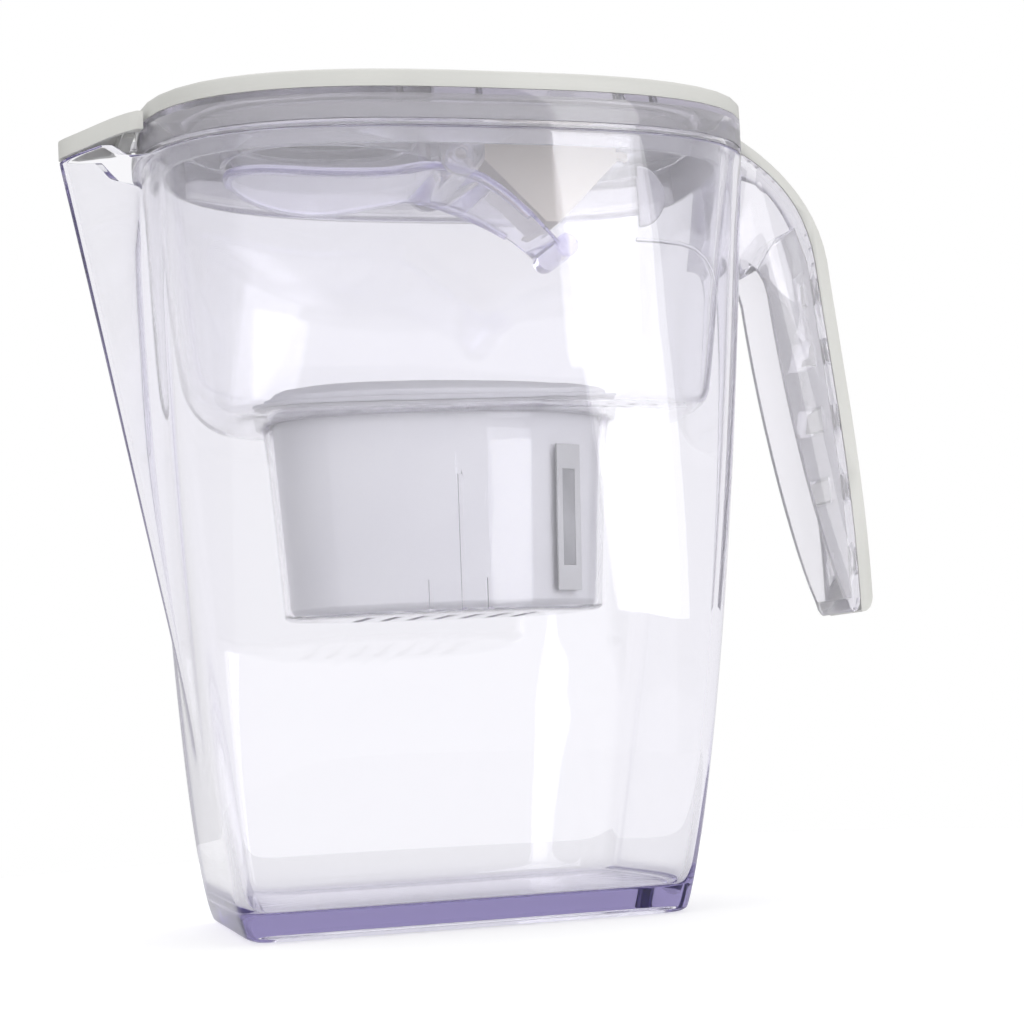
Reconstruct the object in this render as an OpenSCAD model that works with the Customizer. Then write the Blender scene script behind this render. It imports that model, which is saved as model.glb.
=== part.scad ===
// Water filter pitcher: clear jug with a beak, drop-in hopper with an oval filter cup,
// white lid with a flip-up filling door and a hinged beak cover, handle with a white cover.
// The beak points along -X, the handle along +X. Z is up and the table is at z = 0.
// x = 0 is the middle of the overall length, from the beak's tip to the handle's back.

/* [Jug] */
// Height of the jug's rim above the table
rim_height = 245; // [205:5:300]
// Length of the oval rim, without beak and handle
rim_length = 201; // [180:1:245]
// Depth of the oval rim
rim_depth = 123; // [112:1:150]
// Length of the base
base_length = 138; // [120:1:165]
// Depth of the base
base_depth = 90; // [78:1:108]
// How far the base sits toward the beak, from the middle of the rim
base_offset = 10; // [0:1:14]
// Roundness of the rim's plan at the beak end, where 2 is an ellipse
rim_power_front = 2.6; // [2.3:0.05:3.4]
// Roundness of the rim's plan at the handle end
rim_power_back = 3.1; // [2.3:0.05:4]
// Squareness of the base's plan
base_power = 18; // [6:1:20]
// Wall of the jug
wall = 2.6; // [2:0.1:3.6]
// Height of the floor's upper face above the table
floor_top = 8; // [6:0.5:10]
// Hollow under the floor
foot_recess = 2.4; // [1:0.2:3.6]

/* [Beak] */
// How far the beak stands out past the oval rim
beak_reach = 25; // [18:1:32]
// Half of the beak's width where it leaves the oval
beak_half_width = 26; // [22:1:30]
// How far the beak's tip comes back for each millimetre down
beak_slope = 0.2025; // [0.17:0.005:0.26]

/* [Handle] */
// How far the handle stands out past the oval rim
handle_reach = 41; // [38:1:60]
// Width of the handle along Y
handle_width = 27; // [22:1:32]
// Height of the handle's lower tip above the table
handle_foot = 93; // [70:1:110]
// Thickness of the white cover over the handle's back
cover_depth = 4.6; // [3.6:0.2:6]
// Wall of the clear channel
channel_wall = 2.4; // [1.8:0.2:3]

/* [Hopper] */
// Height of the hopper's floor underside
hopper_floor = 160; // [150:1:172]
// Wall of the hopper
hopper_wall = 2; // [1.6:0.2:2.6]
// Thickness of the flange that hangs on the jug's rim
flange = 2; // [1.4:0.2:3]
// Bottom edge radius at the beak end
sump_front = 16; // [8:1:18]
// Bottom edge radius at the handle end
sump_back = 7; // [5:1:12]
// Length of the filter cup at its mouth
cup_length = 114; // [96:1:120]
// Depth of the filter cup at its mouth
cup_depth = 68; // [56:1:76]
// How far the filter cup hangs below the hopper
cup_drop = 63; // [48:1:76]

/* [Lid] */
// Height of the clear skirt below the white plate
skirt = 9.6; // [8:0.2:13]
// Thickness of the white plate at its edge
plate = 5.8; // [5.2:0.2:8]
// Thickness of the plate's skin and of the skirt
lid_skin = 2.2; // [1.8:0.2:2.6]
// Length of the filling door
door_length = 71; // [60:1:76]
// Depth of the filling door
door_depth = 61; // [50:1:66]
// Place of the door's middle, from the middle of the rim
door_offset = -39; // [-44:1:-36]

/* [Hinges] */
// Radius of both steel hinge pins
pin_r = 0.85; // [0.7:0.05:1]
// Running clearance of a knuckle on its pin
run = 0.05; // [0.03:0.01:0.09]
// Outer radius of the door's knuckle
door_knuckle = 1.8; // [1.7:0.1:2]
// Outer radius of the beak cover's knuckle
beak_knuckle = 2.2; // [2:0.1:2.3]
// Half of the moving knuckle's width
knuckle_half = 9; // [7:0.5:10]

/* [Fits] */
// Gap between parts that rest on one another
seat = 0.2; // [0.15:0.05:0.3]
// Gap round a part that drops into another
drop_in = 0.5; // [0.4:0.1:0.8]
// Gap round a part that is pushed into its place once
snug = 0.2; // [0.15:0.05:0.3]

/* [Hidden] */

// The middle of the rim, so that the overall length is centred on x = 0
rim_x = (beak_reach - handle_reach) / 2;
rim_half_length = rim_length / 2;
rim_half_depth = rim_depth / 2;
rim_back = rim_x + rim_half_length;
rim_front = rim_x - rim_half_length;

// How the walls bow out between base and rim: 1 is straight, less is fuller
front_bow = 0.56;
back_bow = 0.8;
side_bow = 0.8;
plan_bow = 1.5;

// Directions in which the outline has points, closer at the corners and at the beak
HALF_TURN = [for (a = [0:6:18]) a, for (a = [21:2:45]) a, for (a = [50:8:130]) a,
    for (a = [135:2:179]) a];
JUG_DIRECTIONS = concat(HALF_TURN, [180], [for (i = [len(HALF_TURN) - 1:-1:1]) 360 - HALF_TURN[i]]);
EVEN_DIRECTIONS = [for (a = [0:5:355]) a];

function mix(a, b, t) = a + (b - a) * t;
function clamp01(t) = min(1, max(0, t));
function smooth(t) = let (u = clamp01(t)) u * u * (3 - 2 * u);
function level(z) = clamp01(z / rim_height);
function superellipse(a, b, n, phi) =
    let (r = pow(pow(abs(cos(phi)) / a, n) + pow(abs(sin(phi)) / b, n), -1 / n))
    [r * cos(phi), r * sin(phi)];
function rim_power(phi) = cos(phi) > 0 ? rim_power_back : rim_power_front;

// The jug's outer walls at height z
function jug_front(z) = mix(rim_x - base_offset - base_length / 2, rim_front, pow(level(z), front_bow));
function jug_back(z) = mix(rim_x - base_offset + base_length / 2, rim_back, pow(level(z), back_bow));
function jug_half(z) = mix(base_depth / 2, rim_half_depth, pow(level(z), side_bow));
function jug_power(z, phi) = 1 / mix(1 / base_power, 1 / rim_power(phi), pow(level(z), plan_bow));

// The beak: a rounded ridge that grows out of the front wall up to the rim
beak_tip_rise = 2;
beak_neck_rise = 6;
beak_half_width_low = 18;
beak_inner_narrowing = 2.8;
function beak_at(z, y, narrowing) =
    let (w = mix(beak_half_width_low, beak_half_width, level(z)) - narrowing,
        tip = rim_front - beak_reach + beak_slope * (rim_height - z),
        reach = max(0, jug_front(z) - tip))
    abs(y) >= w ? 0 : reach * (1 + cos(180 * y / w)) / 2;
// How far the beak's edge rises above the oval rim
function beak_rise(share) = mix(0, mix(beak_neck_rise, beak_tip_rise, clamp01((share - 0.35) / 0.65)),
    smooth((share - 0.3) / 0.14));

// One ring of the jug's surface at height z, drawn in from the outer wall
function jug_ring(z, inset) =
    let (x0 = jug_front(z) + inset, x1 = jug_back(z) - inset, b = jug_half(z) - inset,
        narrowing = inset > 0 ? beak_inner_narrowing : 0)
    [for (phi = JUG_DIRECTIONS)
        let (p = superellipse((x1 - x0) / 2, b, jug_power(z, phi), phi),
            beak = p.x < 0 ? beak_at(z, p.y, narrowing) : 0,
            top = beak_rise(beak / beak_reach) * level(z))
        [(x0 + x1) / 2 + p.x - beak, p.y, z + (z > rim_height / 2 ? top * (2 * level(z) - 1) : 0)]];

// A closed solid through rings of points, closed by a fan at its first and its last ring
function mean_point(ring) = [for (k = [0:2]) [for (p = ring) 1] * [for (p = ring) p[k]] / len(ring)];
module loft(rings) {
    n = len(rings[0]);
    last = len(rings) - 1;
    points = concat([for (ring = rings, p = ring) p], [mean_point(rings[0]), mean_point(rings[last])]);
    first_hub = n * len(rings);
    walls = [for (k = [0:last - 1], i = [0:n - 1])
        let (j = (i + 1) % n, a = k * n + i, b = k * n + j, c = b + n, d = a + n)
        each [[a, d, c], [a, c, b]]];
    first_cap = [for (i = [0:n - 1]) [first_hub, i, (i + 1) % n]];
    last_cap = [for (i = [0:n - 1]) [first_hub + 1, last * n + (i + 1) % n, last * n + i]];
    polyhedron(points = points, faces = concat(walls, first_cap, last_cap));
}

foot_edge = 1.2;
foot_width = 4;
module jug_vessel() {
    // Rings lie at these shares of the height, closer near the base
    outer_shares = [0.016, 0.037, 0.065, 0.114, 0.18, 0.26, 0.36, 0.465, 0.58, 0.694, 0.808, 0.914];
    inner_shares = [0.914, 0.808, 0.694, 0.58, 0.465, 0.36, 0.26, 0.18, 0.114, 0.073];
    floor_round = 4;
    color([0.86, 0.86, 0.95, 0.35])
        loft(concat(
            [jug_ring(foot_recess, foot_width), [for (p = jug_ring(0, foot_width)) [p.x, p.y, 0]],
                [for (p = jug_ring(0, foot_edge)) [p.x, p.y, 0]], jug_ring(foot_edge, 0)],
            [for (t = outer_shares) jug_ring(t * rim_height, 0)],
            [jug_ring(rim_height, 0), jug_ring(rim_height, wall)],
            [for (t = inner_shares) jug_ring(t * rim_height, wall)],
            [jug_ring(floor_top + floor_round, wall), jug_ring(floor_top + 1, wall + 1),
                [for (p = jug_ring(floor_top, wall + floor_round)) [p.x, p.y, floor_top]]]));
}

// A cubic curve through two ends, steered by two more points
function bezier(a, b, c, d, steps, from = 0) = [for (i = [from:steps]) let (t = i / steps, s = 1 - t)
    s * s * s * a + 3 * s * s * t * b + 3 * s * t * t * c + t * t * t * d];

// The handle's side view, in x and z. Its back falls from beside the lid to a rounded tip.
handle_start = [rim_back + 0.8, rim_height + 12];
handle_bend = [rim_back + handle_reach - 8.9, rim_height - 31];
handle_end = [rim_back + handle_reach, handle_foot + 5];
function handle_back(depth) =
    let (a = handle_start - [0, depth], b = handle_bend - [depth, 0], c = handle_end - [depth, 0])
    concat(
        bezier(a, a + [11.4, -6.5], b + [-2.6, 22], b, 12),
        bezier(b, b + [2.8, -31], c + [0, 43], c, 12, from = 1));
grip_top = [rim_back + 9.8, rim_height - 42];
grip_low = handle_end - [9.6, 0.4];
function grip_edge() = bezier(grip_low, grip_low + [-7, 17], grip_top + [4.4, -43], grip_top, 12);
// Where the handle is joined to the jug's end wall
join_low = rim_height - 30;
join_gap = 0.25;
function jug_end_line(z) = [jug_back(z) + join_gap, z];

function handle_outline(depth) = concat(
    handle_back(depth),
    [for (p = [[0.2, 2.4], [1.2, 0.7], [2.4, 0]]) [handle_end.x - depth - p.x, handle_foot + p.y]],
    [for (p = [[7.8, 0.6], [8.9, 2.2]]) [handle_end.x - p.x, handle_foot + p.y]],
    grip_edge(),
    bezier(grip_top, grip_top + [-1, 9], jug_end_line(join_low) + [5, 0.5], jug_end_line(join_low), 6, from = 1),
    [for (z = [join_low + 6:6:rim_height - 1]) jug_end_line(z)],
    [jug_end_line(rim_height - 2), [rim_back + 0.8, rim_height]]);

// A flat shape drawn in x and z, made into a slab of the given width about y = 0
module across(width) {
    rotate([90, 0, 0]) translate([0, 0, -width / 2]) linear_extrude(width) children();
}

clip_count = 5;
clip_slot = [1.8, 7, 9];
// Clips sit along the lower stretch of the back, at shares of its curve
function clip_place(i) =
    let (b = handle_bend - [cover_depth, 0], c = handle_end - [cover_depth, 0],
        path = bezier(b, b + [2.8, -31], c + [0, 43], c, 20))
    path[2 + i * 4];

module handle_frame() {
    web = channel_wall;
    color([0.84, 0.83, 0.94, 0.5])
        difference() {
            across(handle_width) polygon(handle_outline(cover_depth));
            // The channel is open toward the jug
            across(handle_width - 2 * channel_wall)
                polygon(concat(
                    [for (p = bezier(handle_bend, handle_bend + [2.8, -31], handle_end + [0, 43], handle_end, 12))
                        p - [cover_depth + web, 0]],
                    [[handle_end.x - cover_depth - web - 2, handle_foot + 5],
                        [grip_low.x - 12, handle_foot + 5], [grip_top.x - 6, grip_top.y - 30],
                        [grip_top.x - 6, grip_top.y + 4], [grip_top.x + 4, handle_bend.y + 8],
                        [handle_bend.x - cover_depth - web - 4, handle_bend.y + 12]]));
            for (i = [0:clip_count - 1])
                translate([clip_place(i).x, 0, clip_place(i).y])
                    cube([2 * web + 4, clip_slot.y, clip_slot.z], center = true);
        }
}

module handle_cover() {
    skin = 2;
    cover_tail = [[0.3, 3.2], [1.2, 1.4], [2.6, 0.3], [cover_depth - 0.6, 0],
        [cover_depth - snug, 0.5], [cover_depth - snug, 2.4]];
    tab = [4.2, clip_slot.y - 2 * drop_in, clip_slot.z - 2 * drop_in - 1];
    color([0.83, 0.83, 0.81]) {
        difference() {
            across(handle_width)
                polygon(concat(handle_back(0),
                    [for (p = cover_tail) [handle_end.x - p.x, handle_foot + p.y]],
                    [for (i = [24:-1:0]) handle_back(cover_depth - snug)[i]]));
            across(handle_width - 2 * skin)
                polygon(concat([for (i = [2:22]) handle_back(skin)[i]],
                    [for (i = [22:-1:2]) handle_back(cover_depth + 1)[i]]));
        }
        for (i = [0:clip_count - 1])
            translate([clip_place(i).x - 0.4, 0, clip_place(i).y]) cube([tab.x + 3, tab.y, tab.z], center = true);
    }
}

// The hopper: a boat-shaped tank whose outline shrinks from the rim to the floor
hopper_gap = 1.1;
hopper_low_front = jug_front(hopper_floor) + wall + 5;
hopper_low_back = jug_back(hopper_floor) - wall - 3;
hopper_low_half = jug_half(hopper_floor) - wall - 3.6;
hopper_low_power = 4.2;
flange_low = rim_height + seat;
flange_top = flange_low + flange;

function hopper_ring(z, inset, directions = EVEN_DIRECTIONS) =
    let (t = clamp01((z - hopper_floor) / (rim_height - hopper_floor)),
        in_top = wall + hopper_gap,
        x0 = mix(hopper_low_front, rim_front + in_top, t), x1 = mix(hopper_low_back, rim_back - in_top, t),
        b = mix(hopper_low_half, rim_half_depth - in_top, t))
    [for (phi = directions)
        let (n = 1 / mix(1 / hopper_low_power, 1 / rim_power(phi), t),
            p = superellipse((x1 - x0) / 2 - inset, b - inset, n, phi)) [(x0 + x1) / 2 + p.x, p.y, z]];
// The rounded bottom edge, whose radius grows from the handle end to the beak end
function sump_ring(turn, lift, inset) =
    [for (i = [0:len(EVEN_DIRECTIONS) - 1])
        let (phi = EVEN_DIRECTIONS[i],
            r = mix(sump_front, sump_back, (1 + cos(phi)) / 2) - inset,
            z = hopper_floor + lift + r * (1 - cos(turn)),
            p = hopper_ring(z, inset + r * (1 - sin(turn)), [phi])[0])
        p];
function rim_ring(z, inset) =
    [for (phi = EVEN_DIRECTIONS)
        let (p = superellipse(rim_half_length - inset, rim_half_depth - inset, rim_power(phi), phi))
        [rim_x + p.x, p.y, z]];

// The filter cup under the hopper, and the cartridge that drops into it
cup_x = rim_x - 5.5;
cup_power = 2.4;
cup_wall = 1.6;
cup_taper = 4.3;
cup_bottom = hopper_floor - cup_drop;
function cup_ring(z, inset) =
    let (t = (z - cup_bottom) / cup_drop, a = cup_length / 2 - cup_taper * (1 - t) - inset,
        b = cup_depth / 2 - 0.75 * cup_taper * (1 - t) - inset)
    [for (phi = EVEN_DIRECTIONS) let (p = superellipse(a, b, cup_power, phi)) [cup_x + p.x, p.y, z]];

cup_lean = atan(0.75 * cup_taper / cup_drop);
module cup_rib(x, height) {
    t = 1.6;
    out = 0.9;
    b = cup_depth / 2 - 0.75 * cup_taper;
    translate([x, -b, cup_bottom + 0.4]) rotate([cup_lean, 0, 0]) translate([-t / 2, -out, 0])
        cube([t, out + cup_wall / 2, height]);
}

module hopper_tank() {
    inner_floor = hopper_floor + hopper_wall;
    turns = [0, 22.5, 45, 67.5, 90];
    tank_shares = [0.46, 0.76];
    color([0.88, 0.87, 0.95, 0.5])
        difference() {
            union() {
                loft(concat(
                    [cup_ring(cup_bottom, 2), cup_ring(cup_bottom + 1.4, 0), cup_ring(hopper_floor - 2, 0),
                        cup_ring(hopper_floor, -1.5)],
                    [for (t = turns) sump_ring(t, 0, 0)],
                    [for (t = tank_shares) hopper_ring(mix(hopper_floor, rim_height, t), 0)],
                    [hopper_ring(flange_low, 0), rim_ring(flange_low, 0), rim_ring(flange_top, 0)],
                    [hopper_ring(flange_top, hopper_wall)],
                    [for (t = [tank_shares[1], tank_shares[0]])
                        hopper_ring(mix(hopper_floor, rim_height, t), hopper_wall)],
                    [for (i = [len(turns) - 1:-1:0]) sump_ring(turns[i], hopper_wall, hopper_wall)],
                    [cup_ring(inner_floor, cup_wall - 1.5), cup_ring(hopper_floor - 1, cup_wall),
                        cup_ring(cup_bottom + 1.4, cup_wall)]));
                cup_rib(cup_x - 1, 43);
                cup_rib(cup_x - 11.5, 10);
                cup_rib(cup_x + 7.5, 10);
            }
            // Outlet slots in the cup's floor
            for (i = [-3:3])
                translate([cup_x + i * 9 - 1.5, -14, cup_bottom - 1]) cube([3, 28, 4]);
        }
}

// The strip on the near side of the cup, with a darker panel in it
strip_x = 35.5;
strip_a = cup_length / 2 - cup_taper / 2;
strip_b = cup_depth / 2 - 0.75 * cup_taper / 2;
strip_y = -strip_b * pow(1 - pow(strip_x / strip_a, cup_power), 1 / cup_power);
strip_turn = atan(pow(strip_b / strip_a, cup_power) * pow(strip_x / -strip_y, cup_power - 1));
strip_depth = 0.8;
strip_panel = [5, 31];
module strip_slab(width, height, depth) {
    translate([cup_x + strip_x, strip_y, cup_bottom + cup_drop / 2 - 2])
        rotate([cup_lean, 0, strip_turn])
        translate([0, -strip_depth / 2 - snug, 0]) cube([width, depth, height], center = true);
}
module cup_strip() {
    color([0.8, 0.8, 0.81])
        difference() {
            strip_slab(9.5, 47, strip_depth);
            strip_slab(strip_panel.x, strip_panel.y, 3);
        }
}
module cup_strip_panel() {
    color([0.66, 0.66, 0.68]) strip_slab(strip_panel.x - 0.2, strip_panel.y - 0.2, strip_depth - 0.2);
}

// The cartridge, an oval canister that hangs in the cup by its flange
can_gap = 0.6;
can_wall = 1.4;
can_bottom = cup_bottom + 1.4 + can_gap;
can_seat = hopper_floor + hopper_wall + seat;
gasket = 1.2;
can_flange = 1.8;
can_top = can_seat + gasket + seat + can_flange;
function can_ring(z, inset) = cup_ring(min(z, hopper_floor - 1), cup_wall + can_gap + inset);
function at_height(ring, z) = [for (p = ring) [p.x, p.y, z]];
function mouth_ring(z, inset) = at_height(cup_ring(hopper_floor, inset), z);
function flat(ring) = [for (p = ring) [p.x, p.y]];

module cartridge_shell() {
    color([0.95, 0.95, 0.96])
        difference() {
            loft([can_ring(can_bottom, 2), can_ring(can_bottom + 1.6, 0), can_ring(hopper_floor - 1, 0),
                at_height(can_ring(hopper_floor - 1, 0), can_top - can_flange), mouth_ring(can_top - can_flange, -3.5),
                mouth_ring(can_top, -3.5), at_height(can_ring(hopper_floor - 1, can_wall), can_top),
                can_ring(hopper_floor - 1, can_wall), can_ring(can_bottom + 1.6, can_wall)]);
            for (i = [-3:3])
                translate([cup_x + i * 9 - 1, -13, can_bottom - 1]) cube([2, 26, 4]);
        }
}
module cartridge_gasket() {
    color([0.9, 0.9, 0.9])
        translate([0, 0, can_seat]) linear_extrude(gasket)
            difference() {
                polygon(flat(mouth_ring(0, -3)));
                polygon(flat(can_ring(hopper_floor - 1, -0.3)));
            }
}
cap_height = 6;
module cartridge_cap() {
    base = can_top + seat;
    color([0.95, 0.95, 0.96])
        difference() {
            loft([mouth_ring(base + cap_height - 1.6, 8), mouth_ring(base, 2.8), mouth_ring(base, 0),
                mouth_ring(base + 2, 0), mouth_ring(base + cap_height - 1, 5), mouth_ring(base + cap_height, 10)]);
            for (i = [-4:4])
                translate([cup_x + i * 9 - 1, -16, base + 1]) cube([2, 32, cap_height]);
        }
}
screen = 0.8;
resin_depth = 22;
bed_gap = 0.3;
bed_low = can_bottom + 1.6 + bed_gap + screen + bed_gap;
bed_top = can_top - 6;
module outlet_screen() {
    low = can_bottom + 1.6 + bed_gap;
    color([0.85, 0.85, 0.86]) loft([can_ring(low, can_wall + 0.4), can_ring(low + screen, can_wall + 0.4)]);
}
module carbon_bed() {
    color([0.2, 0.2, 0.21])
        loft([can_ring(bed_low, can_wall + 0.4), can_ring(bed_top - resin_depth, can_wall + 0.4)]);
}
module resin_bed() {
    color([0.85, 0.8, 0.68])
        loft([can_ring(bed_top - resin_depth + bed_gap, can_wall + 0.4),
            can_ring(bed_top - resin_depth / 2, can_wall + 0.4),
            at_height(can_ring(hopper_floor - 1, can_wall + 0.4), bed_top)]);
}
module inlet_screen() {
    low = bed_top + bed_gap;
    color([0.85, 0.85, 0.86])
        loft([at_height(can_ring(hopper_floor - 1, can_wall + 0.4), low),
            at_height(can_ring(hopper_floor - 1, can_wall + 0.4), low + screen)]);
}

// The lid: a clear skirt and web under a white plate
skirt_low = flange_top + seat;
skirt_top = skirt_low + skirt;
plate_low = skirt_top + seat;
plate_top = plate_low + plate;
web = 1.6;
skin_low = plate_top - lid_skin;
door_x = rim_x + door_offset;
door_ledge = 2.6;
door_thickness = plate_top - skin_low + 0.6;
door_hinge = [door_x + door_length / 2 + drop_in + door_knuckle, plate_top - door_knuckle];
door_notch = door_knuckle + drop_in;
boss_length = 7;
knuckle_gap = 0.4;

function oval(length, depth, n = 2.2) =
    [for (phi = [0:5:355]) superellipse(length / 2, depth / 2, n, phi)];
function rim_outline(inset) =
    [for (phi = EVEN_DIRECTIONS)
        superellipse(rim_half_length - inset, rim_half_depth - inset, rim_power(phi), phi)];

module y_cylinder(place, r, y0, y1) {
    translate([place.x, y1, place.y]) rotate([90, 0, 0]) cylinder(r = r, h = y1 - y0, $fn = 48);
}

// The change indicator: its button, window and housing lie behind the door
button_place = [rim_x + 55, 8];
button_r = 5;
window_place = [rim_x + 37, 8];
window_size = [21, 9];
module lid_plate() {
    edge = 1.5;
    color([0.82, 0.82, 0.8])
        difference() {
            union() {
                loft([rim_ring(skin_low, lid_skin), rim_ring(plate_low, lid_skin), rim_ring(plate_low, 0),
                    rim_ring(plate_top - edge, 0), rim_ring(plate_top - edge * 0.3, edge * 0.3),
                    rim_ring(plate_top, edge)]);
                for (s = [-1, 1])
                    translate([door_hinge.x - 3, s > 0 ? knuckle_half + knuckle_gap : -knuckle_half - knuckle_gap - boss_length,
                        door_hinge.y - door_knuckle - 0.4])
                        cube([6, boss_length, door_knuckle + 1]);
            }
            translate([door_x, 0, skin_low - 1]) linear_extrude(plate)
                polygon(oval(door_length + 2 * drop_in, door_depth + 2 * drop_in));
            translate([door_hinge.x - door_knuckle - 4, -knuckle_half - knuckle_gap, skin_low - 2])
                cube([door_knuckle + 4 + door_notch, 2 * (knuckle_half + knuckle_gap), plate]);
            y_cylinder(door_hinge, pin_r + run, -knuckle_half - 6, knuckle_half + 6);
            translate([button_place.x, button_place.y, skin_low - 1])
                cylinder(r = button_r + 0.4, h = plate, $fn = 48);
            translate([window_place.x, window_place.y, skin_low])
                cube([window_size.x + 2 * snug, window_size.y + 2 * snug, plate], center = true);
        }
}

beak_hinge = [rim_front - drop_in - beak_knuckle - 0.1, plate_low - 0.4];
locator_drop = 6;
locator_inset = wall + hopper_gap + hopper_wall + drop_in + 1.1;
housing_width = 23;
housing_y = window_place.y;
housing_x = [rim_x + 14, rim_x + 61];
collar_low = skirt_low - 1;
chute_ear_x = rim_x + 1;
chute_ear_y = 25;
chute_ear_half = 7.4;
chute_pivot_z = rim_height + 1;
chute_stud = 2;

module lid_frame() {
    color([0.8, 0.79, 0.93, 0.6])
        difference() {
            union() {
                // Skirt
                translate([rim_x, 0, skirt_low]) linear_extrude(skirt)
                    difference() {
                        polygon(rim_outline(0));
                        polygon(rim_outline(lid_skin));
                    }
                // Web under the plate
                translate([rim_x, 0, skirt_top - web]) linear_extrude(web) polygon(rim_outline(1));
                // Ring that centres the lid inside the hopper
                translate([rim_x, 0, skirt_low - locator_drop]) linear_extrude(skirt + locator_drop - 0.5)
                    difference() {
                        polygon(rim_outline(locator_inset));
                        polygon(rim_outline(locator_inset + 1.6));
                    }
                // Collar that the door closes on
                translate([door_x, 0, collar_low]) linear_extrude(plate_top - door_thickness - seat - collar_low)
                    polygon(oval(door_length - 2 * door_ledge + 4, door_depth - 2 * door_ledge + 4));
                // Ears that carry the chute
                for (s = [-1, 1]) {
                    y_cylinder([chute_ear_x, chute_pivot_z], chute_ear_half,
                        s * chute_ear_y - 1.2, s * chute_ear_y + 1.2);
                    y_cylinder([chute_ear_x, chute_pivot_z], chute_stud,
                        s > 0 ? chute_ear_y - 3.6 : -chute_ear_y, s > 0 ? chute_ear_y : -chute_ear_y + 3.6);
                    translate([chute_ear_x - chute_ear_half, s * chute_ear_y - 1.2, chute_pivot_z])
                        cube([2 * chute_ear_half, 2.4, skirt_top - chute_pivot_z - 0.5]);
                }
                // Lugs of the beak cover's hinge
                for (s = [-1, 1]) {
                    y0 = s > 0 ? knuckle_half + knuckle_gap : -knuckle_half - knuckle_gap - 5;
                    y_cylinder(beak_hinge, beak_knuckle, y0, y0 + 5);
                    translate([beak_hinge.x, y0, beak_hinge.y - beak_knuckle])
                        cube([5, 5, skirt_top - beak_hinge.y + beak_knuckle]);
                }
            }
            translate([door_x, 0, collar_low - 1]) linear_extrude(skirt + plate + 4)
                polygon(oval(door_length - 2 * door_ledge, door_depth - 2 * door_ledge));
            y_cylinder(beak_hinge, pin_r + run, -knuckle_half - 8, knuckle_half + 8);
            // Room for the door's knuckle and its bosses
            translate([door_hinge.x - 5, -knuckle_half - knuckle_gap - boss_length - 1, skirt_top])
                cube([10, 2 * (knuckle_half + knuckle_gap + boss_length + 1), plate]);
            // Passages for the button's stem, for the display's leads and for the screws
            translate([button_place.x, button_place.y, skirt_top - 4]) cylinder(r = 2, h = 8, $fn = 32);
            translate([window_place.x, window_place.y, skirt_top]) cube([8, 4, 8], center = true);
            for (p = screw_places()) translate([p.x, p.y, skirt_top - 4]) cylinder(r = 1.25, h = 8, $fn = 32);
        }
}

// The chute: a clear ladle that hangs from the ears and leads the water down
chute_sheet = 1.8;
chute_plane = rim_height - 4;
chute_path = concat(
    [for (x = [-72:8:-8]) [rim_x + x, chute_plane - 4.5 * sin(clamp01((x + 72) / 64) * 180)]],
    bezier([rim_x + 1, chute_plane - 0.5], [rim_x + 12, chute_plane - 2], [rim_x + 26, chute_plane - 12],
        [rim_x + 36, chute_plane - 23], 8));
ladle = [34, 28];
chute_shoulder = 23.2;
chute_end_half = 14;
function chute_half(x) =
    let (u = (x - door_x) / ladle.x, round = ladle.y * sqrt(max(0, 1 - u * u)))
    x < door_x + ladle.x / 2 ? max(round, 3)
        : mix(chute_shoulder, chute_end_half, smooth((x - chute_ear_x - 2) / ladle.x));
module pour_chute() {
    n = len(chute_path);
    color([0.87, 0.86, 0.95, 0.5]) {
        // Sheet
        polyhedron(
            points = [for (p = chute_path) each [[p.x, -chute_half(p.x), p.y], [p.x, chute_half(p.x), p.y],
                [p.x, chute_half(p.x), p.y + chute_sheet], [p.x, -chute_half(p.x), p.y + chute_sheet]]],
            faces = concat([[0, 1, 2, 3]], [for (i = [0:n - 2], k = [0:3])
                let (a = 4 * i + k, b = 4 * i + (k + 1) % 4) each [[a, a + 4, b], [b, a + 4, b + 4]]],
                [[4 * n - 1, 4 * n - 2, 4 * n - 3, 4 * n - 4]]));
        // Rolled lip at the low end
        y_cylinder(chute_path[n - 1] + [2.6, 0.6], 4, -chute_end_half, chute_end_half);
        // Eyes that clip on the ears' studs
        difference() {
            for (s = [-1, 1]) {
                y_cylinder([chute_ear_x, chute_pivot_z], 4, s * 22.2 - 0.9, s * 22.2 + 0.9);
                translate([chute_ear_x - 4, s * 22.2 - 0.9, chute_plane - 0.5])
                    cube([8, 1.8, chute_pivot_z - chute_plane + 0.5]);
            }
            y_cylinder([chute_ear_x, chute_pivot_z], chute_stud + snug, -30, 30);
        }
    }
}

module door_hinge_pin() {
    color([0.75, 0.76, 0.78]) y_cylinder(door_hinge, pin_r, -knuckle_half - 5.5, knuckle_half + 5.5);
}
module beak_hinge_pin() {
    color([0.75, 0.76, 0.78]) y_cylinder(beak_hinge, pin_r, -knuckle_half - 5, knuckle_half + 5);
}

// The filling door lies in the plate and turns up about its pin
module fill_door() {
    low = plate_top - door_thickness;
    color([0.84, 0.84, 0.82])
        difference() {
            union() {
                translate([door_x, 0, low]) linear_extrude(door_thickness) polygon(oval(door_length, door_depth));
                translate([door_x + door_length / 2 - 4, -knuckle_half, low])
                    cube([door_hinge.x - door_x - door_length / 2 + 4, 2 * knuckle_half, door_thickness]);
                y_cylinder(door_hinge, door_knuckle, -knuckle_half, knuckle_half);
            }
            y_cylinder(door_hinge, pin_r + run, -knuckle_half - 1, knuckle_half + 1);
            // Finger dip at the beak side
            translate([door_x - door_length / 2 + 4, 0, plate_top + 13]) sphere(r = 14, $fn = 64);
        }
}

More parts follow.
